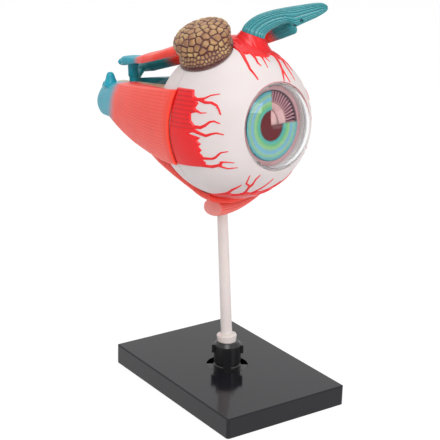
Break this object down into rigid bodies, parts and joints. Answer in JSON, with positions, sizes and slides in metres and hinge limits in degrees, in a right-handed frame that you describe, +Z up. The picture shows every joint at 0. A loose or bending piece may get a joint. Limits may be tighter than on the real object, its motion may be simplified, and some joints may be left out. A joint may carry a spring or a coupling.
{
  "type": "eye anatomy model",
  "caption": "Take-apart enlarged eyeball with its muscles, gland and optic nerve, carried on a rod that stands in a flat base plate",
  "frame": {"origin": "centre of the base plate's underside", "axes": "+Z up, the eye looks along -Y, +X is the nose side of a right eye"},
  "size_m": [0.0764, 0.1465, 0.1908],
  "materials": {
    "black_gloss": "polished black moulding",
    "black_satin": "satin black moulding",
    "rod_white": "satin off-white moulding",
    "sclera_white": "glossy white moulding",
    "tendon_red": "painted red relief",
    "choroid_red": "painted dark red",
    "retina_pink": "painted orange pink with vessels",
    "clear_body": "clear moulding",
    "lens_pink": "pinkish translucent moulding",
    "ciliary_plum": "painted radial folds",
    "iris_rings": "painted rings of blue and green",
    "cornea_clear": "clear polished dome",
    "nerve_cream": "cream moulding",
    "muscle_coral": "coral, fading to blue-green at the rear end",
    "oblique_pink": "pink striated moulding",
    "tendon_teal": "ribbed blue-green moulding",
    "gland_brown": "painted brown cobbles with dark joints"
  },
  "bodies": {
    "stand": {"base_plate": "black_gloss", "stand_socket": "black_satin"},
    "rod": {"stand_rod": "rod_white"},
    "inferior_oblique": {"inferior_oblique": "oblique_pink"},
    "globe_rear": {"sclera_rear": "sclera_white", "optic_nerve": "nerve_cream"},
    "globe_front": {"sclera_front": "sclera_white", "lateral_insertion": "tendon_red", "superior_insertion": "tendon_red", "inferior_insertion": "tendon_red", "medial_insertion": "tendon_red", "trochlea_tendon": "tendon_teal"},
    "cornea": {"cornea": "cornea_clear"},
    "iris": {"iris": "iris_rings"},
    "ciliary_body": {"ciliary_body": "ciliary_plum"},
    "lens": {"lens": "lens_pink"},
    "vitreous": {"vitreous_body": "clear_body"},
    "retina": {"retina": "retina_pink"},
    "choroid": {"choroid": "choroid_red"},
    "lateral_rectus": {"lateral_rectus": "muscle_coral"},
    "medial_rectus": {"medial_rectus": "muscle_coral"},
    "superior_rectus": {"superior_rectus": "muscle_coral"},
    "inferior_rectus": {"inferior_rectus": "muscle_coral"},
    "superior_oblique": {"superior_oblique": "muscle_coral"},
    "lacrimal_gland": {"lacrimal_gland": "gland_brown"}
  },
  "joints": [
    {"name": "rod_turn", "type": "hinge", "parent": "stand", "child": "rod", "pos_m": [0, 0, 0.014], "axis": [0, 0.1045, 0.9945], "continuous": true},
    {"name": "head_lift", "type": "slide", "parent": "rod", "child": "inferior_oblique", "axis": [0, 0.1045, 0.9945], "range_m": [0, 0.02]},
    {"name": "globe_lift", "type": "slide", "parent": "inferior_oblique", "child": "globe_rear", "axis": [0, 0.1045, 0.9945], "range_m": [0, 0.02]},
    {"name": "inferior_rectus_drop", "type": "slide", "parent": "globe_rear", "child": "inferior_rectus", "axis": [0, -0.1045, -0.9945], "range_m": [0, 0.01]},
    {"name": "lateral_rectus_pull", "type": "slide", "parent": "globe_rear", "child": "lateral_rectus", "axis": [-0.9945, -0.104, 0.0109], "range_m": [0, 0.045]},
    {"name": "medial_rectus_pull", "type": "slide", "parent": "globe_rear", "child": "medial_rectus", "axis": [0.9945, 0.104, -0.0109], "range_m": [0, 0.045]},
    {"name": "superior_rectus_lift", "type": "slide", "parent": "globe_rear", "child": "superior_rectus", "axis": [0, 0.1045, 0.9945], "range_m": [0, 0.045]},
    {"name": "superior_oblique_pull", "type": "slide", "parent": "globe_rear", "child": "superior_oblique", "axis": [0.6783, 0.1474, 0.7199], "range_m": [0, 0.04]},
    {"name": "globe_open", "type": "slide", "parent": "globe_rear", "child": "globe_front", "axis": [0.1045, -0.9891, 0.104], "range_m": [0, 0.075]},
    {"name": "choroid_out", "type": "slide", "parent": "globe_rear", "child": "choroid", "axis": [0.1045, -0.9891, 0.104], "range_m": [0, 0.012]},
    {"name": "retina_out", "type": "slide", "parent": "globe_rear", "child": "retina", "axis": [0.1045, -0.9891, 0.104], "range_m": [0, 0.0225]},
    {"name": "vitreous_out", "type": "slide", "parent": "globe_rear", "child": "vitreous", "axis": [0.1045, -0.9891, 0.104], "range_m": [0, 0.03375]},
    {"name": "lens_out", "type": "slide", "parent": "globe_rear", "child": "lens", "axis": [0.1045, -0.9891, 0.104], "range_m": [0, 0.045]},
    {"name": "cornea_pull", "type": "slide", "parent": "globe_front", "child": "cornea", "axis": [0.1045, -0.9891, 0.104], "range_m": [0, 0.045]},
    {"name": "iris_pull", "type": "slide", "parent": "globe_front", "child": "iris", "axis": [0.1045, -0.9891, 0.104], "range_m": [0, 0.03]},
    {"name": "ciliary_pull", "type": "slide", "parent": "globe_front", "child": "ciliary_body", "axis": [0.1045, -0.9891, 0.104], "range_m": [0, 0.018]},
    {"name": "gland_lift", "type": "slide", "parent": "superior_rectus", "child": "lacrimal_gland", "axis": [-0.4973, 0.0386, 0.8667], "range_m": [0, 0.0375]}
  ],
  "couplings": [
    {"joint": "inferior_rectus_drop", "follows": "globe_lift", "ratio": 0.5},
    {"joint": "choroid_out", "follows": "globe_open", "ratio": 0.16},
    {"joint": "retina_out", "follows": "globe_open", "ratio": 0.3},
    {"joint": "vitreous_out", "follows": "globe_open", "ratio": 0.45},
    {"joint": "lens_out", "follows": "globe_open", "ratio": 0.6},
    {"joint": "gland_lift", "follows": "globe_open", "ratio": 0.5},
    {"joint": "iris_pull", "follows": "cornea_pull", "ratio": 0.65},
    {"joint": "ciliary_pull", "follows": "cornea_pull", "ratio": 0.4}
  ]
}
